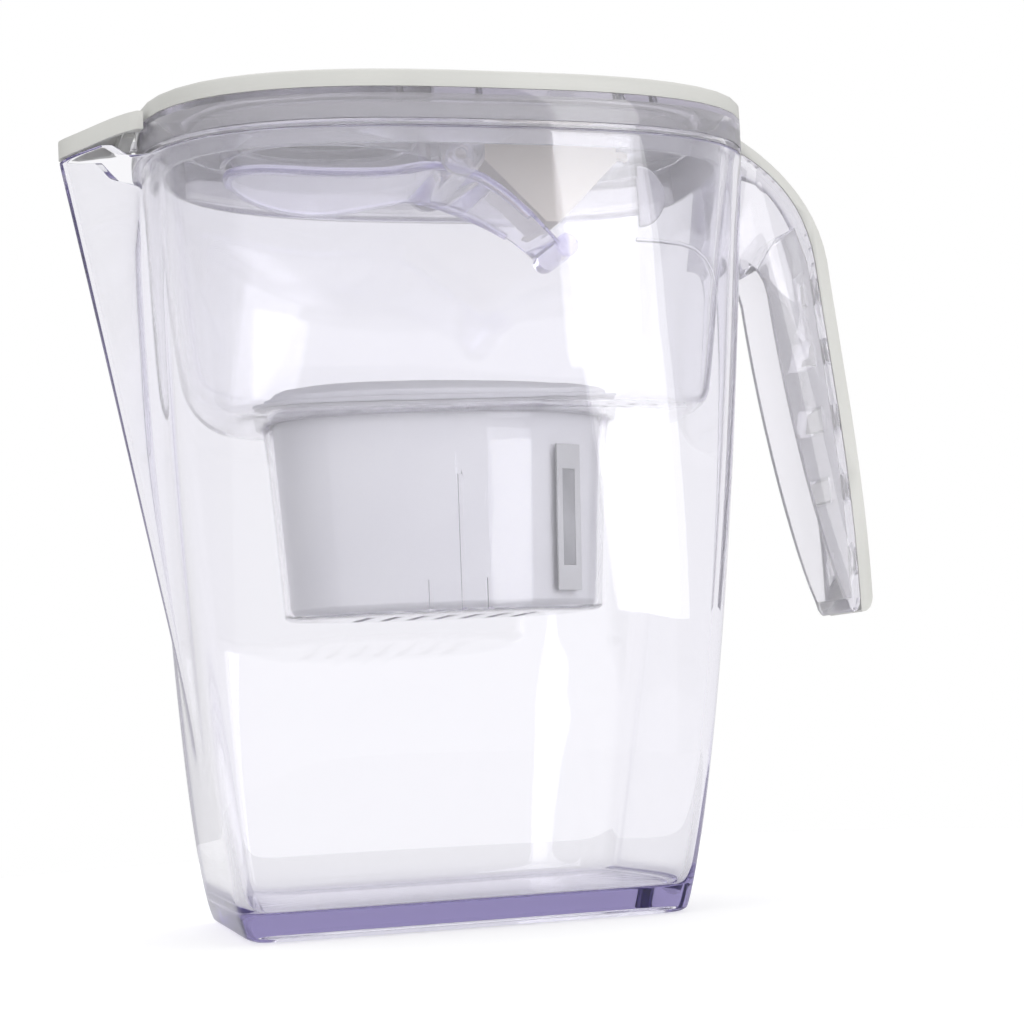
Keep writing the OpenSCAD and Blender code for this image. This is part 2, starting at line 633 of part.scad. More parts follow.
// The beak cover: stations from the tip to the seam, each a flat-topped section
beak_cover_fall = 5.8;
beak_cover_edge = 5.8;
seam = 1.8;
beak_cover_half = 19.5;
function oval_front(y) = rim_x - rim_half_length
    * pow(1 - pow(abs(y) / rim_half_depth, rim_power_front), 1 / rim_power_front);
function beak_cover_top(x) = beak_hinge.y + beak_knuckle + 0.2
    - beak_cover_fall * smooth((beak_hinge.x + 2 - x) / (beak_reach + 2));
module beak_cover_body(inset, low, top_drop) {
    narrowing = inset > 0 ? beak_inner_narrowing : 0;
    count = 10;
    half = beak_cover_half - inset;
    stations = concat(
        [for (i = [0:count]) let (y = max(0.9, half * i / count))
            [oval_front(y) - beak_at(rim_height, y, narrowing) + inset, y]],
        [[rim_front + 4, half]]);
    loft([for (p = stations) let (top = beak_cover_top(min(p.x, beak_hinge.x + 1)) - top_drop)
        [[p.x, p.y, top], [p.x, -p.y, top], [p.x, -p.y, top - beak_cover_edge + top_drop - low],
            [p.x, p.y, top - beak_cover_edge + top_drop - low]]]);
}
module beak_cover() {
    skin = 2;
    color([0.84, 0.84, 0.82])
        difference() {
            union() {
                difference() {
                    beak_cover_body(0, 0, 0);
                    translate([rim_x, 0, rim_height - 5]) linear_extrude(30) polygon(rim_outline(-seam));
                    intersection() {
                        beak_cover_body(skin, 2, skin);
                        translate([beak_hinge.x - beak_knuckle - 1 - 60, -40, 0]) cube([60, 80, 400]);
                    }
                }
                y_cylinder(beak_hinge, beak_knuckle, -knuckle_half, knuckle_half);
            }
            y_cylinder(beak_hinge, pin_r + run, -knuckle_half - 1, knuckle_half + 1);
            // Room for the lugs
            for (s = [-1, 1])
                translate([beak_hinge.x - beak_knuckle - 0.4, s > 0 ? knuckle_half : -knuckle_half - 6, 0])
                    cube([20, 6, 400]);
        }
}

// The change indicator's inside
housing_wall = 1.8;
housing_top = skirt_top - web - seat;
housing_apex = rim_height - 16;
function housing_profile(inset) = [
    [housing_x[0] + inset, housing_top + (inset > 0 ? 1 : 0)],
    [housing_x[0] + inset, housing_top - 5],
    [housing_x[0] + 21 + inset / 2, housing_apex + inset],
    [housing_x[0] + 26 - inset / 2, housing_apex + inset],
    [housing_x[1] - inset, housing_top - 5],
    [housing_x[1] - inset, housing_top + (inset > 0 ? 1 : 0)]];
module indicator_housing() {
    color([0.86, 0.82, 0.76])
        translate([0, housing_y, 0])
        difference() {
            union() {
                across(housing_width) polygon(housing_profile(0));
                for (x = [housing_x[0] - 4, housing_x[1] + 4])
                    translate([x, 0, housing_top - 2]) cylinder(r = 4, h = 2, $fn = 48);
                for (x = [housing_x[0] - 4, housing_x[1]])
                    translate([x, -4, housing_top - 2]) cube([4, 8, 2]);
            }
            across(housing_width - 2 * housing_wall) polygon(housing_profile(housing_wall));
            for (x = [housing_x[0] - 4, housing_x[1] + 4])
                translate([x, 0, housing_top - 5]) cylinder(r = 1.25, h = 8, $fn = 32);
        }
}
function screw_places() = [[housing_x[0] - 4, housing_y], [housing_x[1] + 4, housing_y]];
module housing_screws() {
    color([0.7, 0.71, 0.73])
        for (p = screw_places()) {
            translate([p.x, p.y, housing_top - 2 - seat - 1.4]) cylinder(r = 2.4, h = 1.4, $fn = 48);
            translate([p.x, p.y, housing_top - 2 - seat - 1]) cylinder(r = 1.1, h = 5, $fn = 48);
        }
}
board_top = housing_top - 3.6;
board = 1.2;
module indicator_board() {
    length = housing_x[1] - housing_x[0] - 2 * housing_wall - 0.6;
    color([0.2, 0.45, 0.3]) {
        translate([(housing_x[0] + housing_x[1]) / 2, housing_y, board_top - board / 2])
            cube([length, housing_width - 2 * housing_wall - 0.6, board], center = true);
        // Switch under the button's stem
        translate([button_place.x, button_place.y, board_top + 0.25]) cube([4, 4, 0.7], center = true);
    }
}
cell = [8, 2];
module coin_cell() {
    color([0.75, 0.76, 0.78])
        translate([housing_x[0] + 23.5, housing_y, board_top - board - 0.2 - cell[1]])
            cylinder(r = cell[0], h = cell[1], $fn = 64);
}
window_depth = 1.6;
module display_window() {
    color([0.85, 0.88, 0.88])
        translate([window_place.x, window_place.y, plate_top - 0.2 - window_depth / 2])
            cube([window_size.x, window_size.y, window_depth], center = true);
}
module lcd_panel() {
    low = skirt_top + seat;
    top = plate_top - 0.2 - window_depth - seat;
    color([0.6, 0.65, 0.6])
        translate([window_place.x, window_place.y, (low + top) / 2])
            cube([window_size.x - 2, window_size.y - 1, top - low], center = true);
}
button_travel = 0.8;
button_cap = 2.2;
stem_r = 1.5;
module indicator_button() {
    color([0.55, 0.6, 0.8])
        translate([button_place.x, button_place.y, 0]) {
            translate([0, 0, plate_top - 0.2 - button_cap]) cylinder(r = button_r, h = button_cap, $fn = 64);
            translate([0, 0, board_top + 1.6])
                cylinder(r = stem_r, h = plate_top - button_cap - board_top - 1.6, $fn = 48);
        }
}
// Return spring round the stem, squeezed between the web and the cap
module button_spring() {
    wire = 0.35;
    low = skirt_top + wire + 0.1;
    top = plate_top - 0.2 - button_cap - button_travel - wire - 0.3;
    coil_r = stem_r + wire + 0.5;
    turns = 2;
    steps = 12;
    sides = 6;
    color([0.78, 0.78, 0.8])
        translate([button_place.x, button_place.y, 0])
        loft([for (i = [0:turns * steps])
            let (a = 360 * i / steps, z = mix(low, top, i / (turns * steps)))
            [for (k = [sides - 1:-1:0]) let (q = 360 * k / sides)
                [(coil_r + wire * cos(q)) * cos(a), (coil_r + wire * cos(q)) * sin(a), z + wire * sin(q)]]]);
}

jug_vessel();
handle_frame();
handle_cover();
hopper_tank();
cup_strip();
cup_strip_panel();
cartridge_shell();
cartridge_cap();
cartridge_gasket();
carbon_bed();
resin_bed();
inlet_screen();
outlet_screen();
lid_plate();
lid_frame();
pour_chute();
door_hinge_pin();
beak_hinge_pin();
indicator_housing();
indicator_board();
coin_cell();
lcd_panel();
display_window();
housing_screws();
fill_door();
beak_cover();
indicator_button();
button_spring();
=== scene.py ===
import math
import bpy
from mathutils import Matrix, Vector


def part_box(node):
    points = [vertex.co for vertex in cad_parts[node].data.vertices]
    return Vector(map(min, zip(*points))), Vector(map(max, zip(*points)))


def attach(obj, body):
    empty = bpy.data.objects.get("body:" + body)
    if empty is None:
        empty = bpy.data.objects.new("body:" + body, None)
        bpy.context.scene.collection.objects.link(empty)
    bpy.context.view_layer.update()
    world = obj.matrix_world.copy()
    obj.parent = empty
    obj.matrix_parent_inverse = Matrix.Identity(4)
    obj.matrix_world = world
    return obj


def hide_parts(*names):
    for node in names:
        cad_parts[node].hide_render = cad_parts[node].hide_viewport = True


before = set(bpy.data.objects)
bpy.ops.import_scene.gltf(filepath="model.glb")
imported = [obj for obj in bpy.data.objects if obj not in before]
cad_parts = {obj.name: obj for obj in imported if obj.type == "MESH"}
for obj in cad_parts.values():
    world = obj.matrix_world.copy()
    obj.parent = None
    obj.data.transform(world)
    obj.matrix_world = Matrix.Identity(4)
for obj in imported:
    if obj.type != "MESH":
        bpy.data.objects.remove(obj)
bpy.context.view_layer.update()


# Jug
# One injection-moulded vessel of clear copolyester: oval at the rim, squarer at the foot, with a beak
# that grows out of its front wall. The thick floor shows its violet cast when seen edge on.

def from_hex(code):
    """An sRGB hex colour as the linear colour that a shader takes."""
    parts = [int(code[k:k + 2], 16) / 255 for k in (1, 3, 5)]
    return tuple(p / 12.92 if p <= 0.04045 else ((p + 0.055) / 1.055) ** 2.4 for p in parts) + (1.0,)


def add_node(tree, kind, sockets=None, **settings):
    """Add one shader node. A socket is given a value, or another node's output to be linked to."""
    made = tree.nodes.new(kind)
    for name, value in settings.items():
        setattr(made, name, value)
    for socket, value in (sockets or {}).items():
        if isinstance(value, bpy.types.NodeSocket):
            tree.links.new(value, made.inputs[socket])
        else:
            made.inputs[socket].default_value = value
    return made


def start_material(name):
    """An empty material, its tree and the place on the object that its patterns are read from."""
    stuff = bpy.data.materials.new(name)
    stuff.use_nodes = True
    stuff.node_tree.nodes.clear()
    place = add_node(stuff.node_tree, "ShaderNodeTexCoord").outputs["Object"]
    return stuff, stuff.node_tree, place


def clear_plastic(name, tint, index, polish, flow_mm, flow_depth, milk, absorbs):
    """Clear moulded plastic: polished skin, faint flow ripple from the mould, coloured in its depth.

    polish is the range of roughness, milk the share of light that the skin scatters, and absorbs what a
    metre of the plastic takes out of red, green and blue light.
    """
    stuff, tree, place = start_material(name)
    flow = add_node(tree, "ShaderNodeTexNoise", {"Vector": place, "Scale": 1000 / flow_mm, "Detail": 2.0})
    gloss = add_node(tree, "ShaderNodeMapRange",
                     {"Value": flow.outputs[0], "To Min": polish[0], "To Max": polish[1]})
    ripple = add_node(tree, "ShaderNodeBump",
                      {"Height": flow.outputs[0], "Strength": 0.5, "Distance": flow_depth / 1000})
    skin = add_node(tree, "ShaderNodeBsdfPrincipled",
                    {"Base Color": from_hex(tint), "Roughness": gloss.outputs[0], "IOR": index,
                     "Transmission Weight": 1.0 - milk, "Normal": ripple.outputs[0]})
    # Light that only throws a shadow goes straight through, as it does through a thin clear wall, and so
    # does light that has met a dozen surfaces inside a thick edge, which would end as a black patch
    most_surfaces = 12
    path = add_node(tree, "ShaderNodeLightPath")
    trapped = add_node(tree, "ShaderNodeMath", {0: path.outputs["Ray Depth"], 1: most_surfaces},
                       operation="GREATER_THAN")
    straight = add_node(tree, "ShaderNodeMath", {0: path.outputs["Is Shadow Ray"], 1: trapped.outputs[0]},
                        operation="MAXIMUM")
    through = add_node(tree, "ShaderNodeBsdfTransparent", {"Color": (0.985, 0.985, 0.99, 1.0)})
    surface = add_node(tree, "ShaderNodeMixShader",
                       {0: straight.outputs[0], 1: skin.outputs[0], 2: through.outputs[0]})
    most = max(absorbs)
    depth = add_node(tree, "ShaderNodeVolumeAbsorption",
                     {"Color": tuple(1 - a / most for a in absorbs) + (1.0,), "Density": most})
    add_node(tree, "ShaderNodeOutputMaterial", {"Surface": surface.outputs[0], "Volume": depth.outputs[0]})
    return stuff


def round_edges(piece, width_mm, steps):
    """Round every sharp edge of the active piece, as its mould does."""
    edge = piece.modifiers.new("edge", "BEVEL")
    edge.width = width_mm / 1000
    edge.segments = steps
    edge.limit_method = "ANGLE"
    edge.angle_limit = math.radians(38)
    bpy.ops.object.modifier_apply(modifier="edge")


def take_over(node, name, body, stuff, round_mm=0.0, steps=2, lofted=False, refine=0):
    """A merged copy of a CAD part, its sharp edges rounded and its skin smooth, which replaces it.

    A lofted skin is curved all over, so its triangles are paired and none of them is dissolved. A clear
    one is also refined, because light that bends through flat facets under a smooth shade goes black.
    """
    same_point = 2e-5
    bpy.ops.object.select_all(action="DESELECT")
    piece = bpy.data.objects.new(name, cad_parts[node].data.copy())
    bpy.context.scene.collection.objects.link(piece)
    bpy.context.view_layer.objects.active = piece
    piece.select_set(True)
    bpy.ops.object.mode_set(mode="EDIT")
    bpy.ops.mesh.select_all(action="SELECT")
    bpy.ops.mesh.remove_doubles(threshold=same_point)
    if lofted:
        any_corner = math.radians(179)
        bpy.ops.mesh.tris_convert_to_quads(face_threshold=math.radians(30), shape_threshold=any_corner)
    else:
        bpy.ops.mesh.dissolve_limited(angle_limit=math.radians(0.4))
    bpy.ops.object.mode_set(mode="OBJECT")
    if round_mm:
        round_edges(piece, round_mm, steps)
    if refine:
        skin = piece.modifiers.new("skin", "SUBSURF")
        skin.levels = skin.render_levels = refine
        bpy.ops.object.modifier_apply(modifier="skin")
    bpy.ops.object.shade_smooth_by_angle(angle=math.radians(35))
    piece.data.materials.clear()
    piece.data.materials.append(stuff)
    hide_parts(node)
    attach(piece, body)
    return piece


# Clear copolyester, polished mould: water-clear in a wall, violet where light runs along a wall
jug_clear = clear_plastic("clear_copolyester_polished", "#FEFEFF", index=1.54, polish=(0.0, 0.02),
                          flow_mm=38, flow_depth=0.015, milk=0.0, absorbs=(13.8, 15.3, 8.4))
take_over("jug_vessel", "jug_shell", "jug", jug_clear, round_mm=0.5, lofted=True, refine=2)


# Clear part of the handle
# An open channel in a clear plastic that scatters a little light, joined to the jug's end wall. Its
# back has a row of slots for the clips of the white strip.

# Clear plastic, moulded: soft and slightly cloudy beside the jug's wall
handle_clear = clear_plastic("clear_handle_moulded", "#FBFAFE", index=1.52, polish=(0.01, 0.05),
                             flow_mm=18, flow_depth=0.02, milk=0.2, absorbs=(3.5, 3.8, 2.4))
take_over("handle_frame", "handle_channel", "jug", handle_clear, round_mm=0.5)


# White strip of the handle
# A curved strip of white ABS over the handle's back, from beside the lid down to the rounded tip.
# It is injection moulded with a satin face, and its clips sit in the slots of the clear part.

def satin_plastic(name, high, low, rough, grain_mm, grain_depth, index=1.5):
    """Opaque moulded plastic: a fine spark-eroded grain and a slow drift between two near tones."""
    drift_mm = 26
    stuff, tree, place = start_material(name)
    drift = add_node(tree, "ShaderNodeTexNoise", {"Vector": place, "Scale": 1000 / drift_mm, "Detail": 3.0})
    grain = add_node(tree, "ShaderNodeTexNoise", {"Vector": place, "Scale": 1000 / grain_mm, "Detail": 2.0})
    tone = add_node(tree, "ShaderNodeValToRGB", {"Fac": drift.outputs[0]})
    for stop, position, colour in zip(tone.color_ramp.elements, (0.35, 0.65), (low, high)):
        stop.position = position
        stop.color = from_hex(colour)
    gloss = add_node(tree, "ShaderNodeMapRange",
                     {"Value": grain.outputs[0], "To Min": rough[0], "To Max": rough[1]})
    relief = add_node(tree, "ShaderNodeBump",
                      {"Height": grain.outputs[0], "Strength": 0.6, "Distance": grain_depth / 1000})
    skin = add_node(tree, "ShaderNodeBsdfPrincipled",
                    {"Base Color": tone.outputs[0], "Roughness": gloss.outputs[0], "IOR": index,
                     "Normal": relief.outputs[0]})
    add_node(tree, "ShaderNodeOutputMaterial", {"Surface": skin.outputs[0]})
    return stuff


# ABS, warm white, satin mould: soft broad highlight, no speckle. Grain of 0.5 mm, just visible close by
white_abs = satin_plastic("white_abs_satin", "#D8D8D4", "#D4D4D0", rough=(0.32, 0.42),
                          grain_mm=0.5, grain_depth=0.01, index=1.53)
strip = take_over("handle_cover", "handle_strip", "jug", white_abs, round_mm=0.7, steps=3)

# The clips are the only parts near the middle plane. Each is drawn back to end in its slot.
clip_reach, clip_gap, clip_height = 0.005, 0.006, 0.0095
clip_end, drawn_back = 0.0016, 0.0024
clip_points = sorted((v for v in strip.data.vertices if abs(v.co.y) < clip_reach), key=lambda v: v.co.z)
clip_groups = [[clip_points[0]]]
for point in clip_points[1:]:
    group = clip_groups[-1]
    if point.co.z - group[-1].co.z > clip_gap and point.co.z - group[0].co.z > clip_height:
        clip_groups.append([])
    clip_groups[-1].append(point)
for group in clip_groups:
    inner = min(point.co.x for point in group)
    for point in group:
        if point.co.x < inner + clip_end:
            point.co.x += drawn_back


# Hopper and its filter cup
# A thin clear tank that hangs in the jug by its flange. Its bottom edge is round and it ends in an
# oval cup with ribs, which holds the filter. The plastic is a little milky beside the jug's.

# Clear plastic, thin moulded wall: a faint veil over what is behind it
hopper_clear = clear_plastic("clear_hopper_moulded", "#FDFDFE", index=1.5, polish=(0.0, 0.03),
                             flow_mm=24, flow_depth=0.02, milk=0.035, absorbs=(7.5, 8.2, 6.2))
take_over("hopper_tank", "hopper_shell", "hopper", hopper_clear, round_mm=0.35,
          lofted=True, refine=1)


# Bead in the hopper's handle end
# A raised bead inside the tank. It runs level along the near wall at the handle end, turns down
# round the corner and stiffens the thin end wall there. Moulded in one with the tank.

bead_radius = 0.0007
bead_line_mm = [(42.0, -50.5, 212.0), (50.8, -48.6, 212.0), (58.2, -46.3, 211.7), (63.6, -43.6, 210.6),
                (67.9, -40.3, 208.2), (71.2, -36.6, 204.4), (73.4, -33.2, 199.0), (74.2, -31.0, 191.0),
                (73.9, -29.9, 182.0), (72.9, -29.4, 175.5)]
bead_line = [Vector(point) / 1000 for point in bead_line_mm]

# One corner of a small ring is kept, put at the line's start and drawn on from point to point
bpy.ops.object.select_all(action="DESELECT")
bpy.ops.mesh.primitive_circle_add(vertices=3, radius=bead_radius, location=(0, 0, 0))
bead = bpy.context.active_object
bead.name = "hopper_bead"
bpy.ops.object.mode_set(mode="EDIT")
bpy.ops.mesh.select_mode(type="VERT")
bpy.ops.mesh.select_all(action="DESELECT")
bpy.ops.object.mode_set(mode="OBJECT")
bead.data.vertices[0].co = bead_line[0]
for vertex in bead.data.vertices[1:]:
    vertex.select = True
bpy.ops.object.mode_set(mode="EDIT")
bpy.ops.mesh.delete(type="VERT")
bpy.ops.mesh.select_all(action="SELECT")
for start, end in zip(bead_line, bead_line[1:]):
    bpy.ops.mesh.extrude_vertices_move(TRANSFORM_OT_translate={"value": end - start})
bpy.ops.object.mode_set(mode="OBJECT")


def round_wire(piece, radius, resolution):
    """Give the active chain of edges a round section with closed ends."""
    bpy.ops.object.convert(target="CURVE")
    piece.data.bevel_depth = radius
    piece.data.bevel_resolution = resolution
    piece.data.use_fill_caps = True
    bpy.ops.object.convert(target="MESH")
    bpy.ops.object.shade_smooth()
    piece.data.materials.clear()


round_wire(bead, bead_radius, resolution=3)
bead.data.materials.append(hopper_clear)
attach(bead, "hopper")


# Strip on the cup
# A plain strip of grey film on the near side of the cup with a darker panel in it. It is bare:
# there is nothing on it but the two even tones.

# Printed polyester film: even matt ink with the faint tooth of the print
strip_grey = satin_plastic("grey_film_printed", "#C6C6C8", "#CDCDCF", rough=(0.5, 0.6),
                           grain_mm=0.35, grain_depth=0.004)
panel_grey = satin_plastic("dark_film_printed", "#98989B", "#AFAFB2", rough=(0.5, 0.6),
                           grain_mm=0.35, grain_depth=0.004)
take_over("cup_strip", "cup_strip_film", "hopper", strip_grey, round_mm=0.12)
take_over("cup_strip_panel", "cup_strip_dark", "hopper", panel_grey, round_mm=0.1)


# Filter cartridge
# An oval canister of white polypropylene that drops into the cup, with slots underneath, a slotted
# cap and a soft sealing ring. Two beds of granules lie between two woven screens inside it.

# Polypropylene, natural white: waxy, soft sheen, slightly cool
white_pp = satin_plastic("white_polypropylene", "#F7F7F8", "#F3F3F5", rough=(0.38, 0.5),
                         grain_mm=0.8, grain_depth=0.008)
take_over("cartridge_shell", "canister", "cartridge", white_pp, round_mm=0.3, lofted=True)
take_over("cartridge_cap", "canister_cap", "cartridge", white_pp, round_mm=0.3, lofted=True)

# Moulded silicone: dull, slightly grey, catches a little dust-fine bloom
silicone = satin_plastic("silicone_ring", "#E4E4E4", "#DADADA", rough=(0.55, 0.7),
                         grain_mm=0.4, grain_depth=0.006)
take_over("cartridge_gasket", "canister_ring", "cartridge", silicone, lofted=True)


def packed_grains(name, light, dark, grain_mm, rough):
    """A bed of granules: each cell of the pattern is one grain with its own tone and its own dome."""
    stuff, tree, place = start_material(name)
    cells = add_node(tree, "ShaderNodeTexVoronoi", {"Vector": place, "Scale": 1000 / grain_mm})
    tone = add_node(tree, "ShaderNodeValToRGB", {"Fac": cells.outputs["Color"]})
    for stop, position, colour in zip(tone.color_ramp.elements, (0.2, 0.8), (dark, light)):
        stop.position = position
        stop.color = from_hex(colour)
    dome = add_node(tree, "ShaderNodeBump",
                    {"Height": cells.outputs["Distance"], "Strength": 1.0, "Distance": grain_mm / 2000},
                    invert=True)
    skin = add_node(tree, "ShaderNodeBsdfPrincipled",
                    {"Base Color": tone.outputs[0], "Roughness": rough, "Normal": dome.outputs[0]})
    add_node(tree, "ShaderNodeOutputMaterial", {"Surface": skin.outputs[0]})
    return stuff


def dress(node, stuff):
    """Give a CAD part that stays as it is its own material."""
    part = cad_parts[node]
    part.data.materials.clear()
    part.data.materials.append(stuff)


# Activated carbon from coconut shell, crushed to about 0.9 mm: near black, dull facets
carbon = packed_grains("activated_carbon_granules", "#2A2A2C", "#151516", grain_mm=0.9, rough=0.7)
dress("carbon_bed", carbon)
# Ion exchange resin beads of about 0.7 mm: amber, glossy and round
resin = packed_grains("ion_exchange_beads", "#D9BF85", "#B9975A", grain_mm=0.7, rough=0.25)
dress("resin_bed", resin)

# Woven polyester cloth. Its fine threads are drawn much coarser, so that the weave shows as a soft
# relief. A wave repeats after pi / 10 of its own unit.
thread_mm = 7.54
wave_scale = 1000 * math.pi / 10 / thread_mm
screen_cloth, weave_tree, weave_place = start_material("woven_screen_cloth")
warp, weft = (add_node(weave_tree, "ShaderNodeTexWave", {"Vector": weave_place, "Scale": wave_scale},
                       bands_direction=way) for way in "XY")
crossing = add_node(weave_tree, "ShaderNodeMath", {0: warp.outputs["Fac"], 1: weft.outputs["Fac"]},
                    operation="MAXIMUM")
thread = add_node(weave_tree, "ShaderNodeValToRGB", {"Fac": crossing.outputs[0]})
thread.color_ramp.elements[0].color = from_hex("#B9B9BE")
thread.color_ramp.elements[1].color = from_hex("#ECECF0")
knots = add_node(weave_tree, "ShaderNodeBump",
                 {"Height": crossing.outputs[0], "Strength": 0.8, "Distance": 0.0002})
cloth_skin = add_node(weave_tree, "ShaderNodeBsdfPrincipled",
                      {"Base Color": thread.outputs[0], "Roughness": 0.75, "Normal": knots.outputs[0]})
add_node(weave_tree, "ShaderNodeOutputMaterial", {"Surface": cloth_skin.outputs[0]})
dress("inlet_screen", screen_cloth)
dress("outlet_screen", screen_cloth)


# Lid plate
# The white oval plate that covers the hopper. Its rounded edge is the white band round the top,
# and it is cut out for the filling door, the button and the window. Moulded in the strip's ABS.

take_over("lid_plate", "lid_top", "lid", white_abs, round_mm=0.4)


# Clear frame of the lid
# The clear skirt under the plate, moulded in one with the sheet that the plate lies on, the collar
# of the filling door, the ears of the chute and the lugs of the beak cover.

# Clear plastic, thick and satin: milky lavender grey where its many webs lie behind one another
lid_clear = clear_plastic("clear_lid_moulded", "#F0EFF3", index=1.52, polish=(0.03, 0.08),
                          flow_mm=20, flow_depth=0.02, milk=0.16, absorbs=(6.0, 6.5, 4.8))
take_over("lid_frame", "lid_underframe", "lid", lid_clear, round_mm=0.35)


# Tongue of the lid
# A half-round clear tongue that hangs from the lid's underside at the handle end and centres the
# lid in the hopper. Moulded with the frame: a thin web inside a raised round rim.

tongue_x, tongue_z, tongue_r, tongue_width = 0.0615, 0.2388, 0.0162, 0.013
tongue_rim, dish_slope, dish_depth = 0.0020, 0.0002, 0.0055
bpy.ops.object.select_all(action="DESELECT")
bpy.ops.mesh.primitive_cylinder_add(vertices=72, radius=tongue_r, depth=tongue_width,
                                    location=(tongue_x, 0, tongue_z), rotation=(math.pi / 2, 0, 0))
tongue = bpy.context.active_object
tongue.name = "lid_tongue"
bpy.ops.object.transform_apply(location=True, rotation=True, scale=True)

# Both round faces are dished into a web, and the disc is then cut in half
for face in tongue.data.polygons:
    face.select = abs(face.normal.y) > 0.9
bpy.ops.object.mode_set(mode="EDIT")
bpy.ops.mesh.select_mode(type="FACE")
bpy.ops.mesh.inset(thickness=tongue_rim, depth=0)
bpy.ops.mesh.inset(thickness=dish_slope, depth=-dish_depth)
bpy.ops.mesh.select_mode(type="VERT")
bpy.ops.mesh.select_all(action="SELECT")
bpy.ops.mesh.bisect(plane_co=(tongue_x, 0, tongue_z), plane_no=(1, 0, 0), use_fill=True, clear_inner=True)
bpy.ops.object.mode_set(mode="OBJECT")
round_edges(tongue, width_mm=0.5, steps=3)
bpy.ops.object.shade_smooth_by_angle(angle=math.radians(35))
tongue.data.materials.append(lid_clear)
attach(tongue, "lid")


# Chute
# A clear ladle under the filling door. It hangs by two eyes from the ears, has a thick rolled rim
# round its bowl, and curves down to a rolled lip that lets the water fall at the handle end.

# Clear plastic, polished: its thick rim gathers enough colour to draw a violet line
chute_clear = clear_plastic("clear_chute_moulded", "#F7F6FD", index=1.52, polish=(0.01, 0.04),
                            flow_mm=16, flow_depth=0.05, milk=0.05, absorbs=(22.0, 24.5, 12.0))
take_over("pour_chute", "chute_sheet", "lid", chute_clear, lofted=True)

# The rim starts as a ring round the bowl and loses its handle side
bowl_x, bowl_half_length, bowl_half_width, ring_cut = -0.047, 0.0326, 0.0266, -0.0315
bpy.ops.object.select_all(action="DESELECT")
bpy.ops.mesh.primitive_circle_add(vertices=96, radius=1.0, location=(bowl_x, 0, 0))
rim = bpy.context.active_object
rim.name = "chute_rim"
rim.scale = (bowl_half_length, bowl_half_width, 1.0)
bpy.ops.object.transform_apply(location=True, rotation=True, scale=True)
bpy.ops.object.mode_set(mode="EDIT")
bpy.ops.mesh.select_all(action="SELECT")
bpy.ops.mesh.bisect(plane_co=(ring_cut, 0, 0), plane_no=(1, 0, 0), clear_outer=True)
bpy.ops.object.mode_set(mode="OBJECT")

# Its two ends are drawn on to the lip, in steps
rim_steps, rim_step = 9, 0.0055
for step in range(rim_steps):
    tip = max(vertex.co.x for vertex in rim.data.vertices)
    for vertex in rim.data.vertices:
        vertex.select = abs(vertex.co.x - tip) < 1e-5
    bpy.ops.object.mode_set(mode="EDIT")
    bpy.ops.mesh.extrude_vertices_move(TRANSFORM_OT_translate={"value": (rim_step, 0, 0)})
    bpy.ops.object.mode_set(mode="OBJECT")

# It follows the sheet's upper edge: down a little round the bowl, in to the lip's width and down to it
bowl_start, bowl_end, lip_end = -0.080, -0.016, 0.028
mouth_half, lip_half = 0.0218, 0.0128
narrows_from, narrows_to = -0.005, 0.029


def chute_height(x):
    """Height of the sheet's upper edge, from the bowl to the low end."""
    if x < bowl_end:
        share = min(1.0, max(0.0, (x - bowl_start) / (bowl_end - bowl_start)))
        return 0.2428 - 0.0045 * math.sin(share * math.pi)
    share = min(1.0, (x - bowl_end) / (lip_end - bowl_end))
    return 0.2424 - 0.0225 * share ** 1.75


for vertex in rim.data.vertices:
    x, y = vertex.co.x, vertex.co.y
    if x > -0.02:
        share = min(1.0, max(0.0, (x - narrows_from) / (narrows_to - narrows_from)))
        half = mouth_half + (lip_half - mouth_half) * share * share * (3 - 2 * share)
        vertex.co.y = math.copysign(min(abs(y), half), y)
    vertex.co.z = chute_height(x)
round_wire(rim, radius=0.0016, resolution=4)
rim.data.materials.append(chute_clear)
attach(rim, "lid")


# Hinge pins
# Two short pins of drawn stainless wire: one through the filling door, one through the beak cover.
# The screws of the indicator and the spring of its button are of the same steel.

# Stainless steel, drawn: fine lines along the wire, so the gloss is streaked along Y
line_mm, line_stretch = 0.25, 0.04
drawn_steel, pin_tree, pin_place = start_material("drawn_stainless_wire")
along = add_node(pin_tree, "ShaderNodeMapping", {"Vector": pin_place, "Scale": (1.0, line_stretch, 1.0)})
lines = add_node(pin_tree, "ShaderNodeTexNoise",
                 {"Vector": along.outputs[0], "Scale": 1000 / line_mm, "Detail": 3.0})
pin_gloss = add_node(pin_tree, "ShaderNodeMapRange",
                     {"Value": lines.outputs[0], "To Min": 0.18, "To Max": 0.34})
pin_relief = add_node(pin_tree, "ShaderNodeBump",
                      {"Height": lines.outputs[0], "Strength": 0.3, "Distance": 0.00002})
pin_skin = add_node(pin_tree, "ShaderNodeBsdfPrincipled",
                    {"Base Color": from_hex("#C9CACC"), "Metallic": 1.0, "Roughness": pin_gloss.outputs[0],
                     "Normal": pin_relief.outputs[0]})
add_node(pin_tree, "ShaderNodeOutputMaterial", {"Surface": pin_skin.outputs[0]})
for node, name in (("door_hinge_pin", "door_pin"), ("beak_hinge_pin", "beak_pin"),
                   ("housing_screws", "housing_screw_pair")):
    take_over(node, name, "lid", drawn_steel, round_mm=0.15, lofted=True)
dress("button_spring", drawn_steel)


# Change indicator
# A V-shaped box of cream ABS screwed under the lid. It holds a small circuit board, a coin cell and
# a display, with a clear window above them and a lavender button beside it.

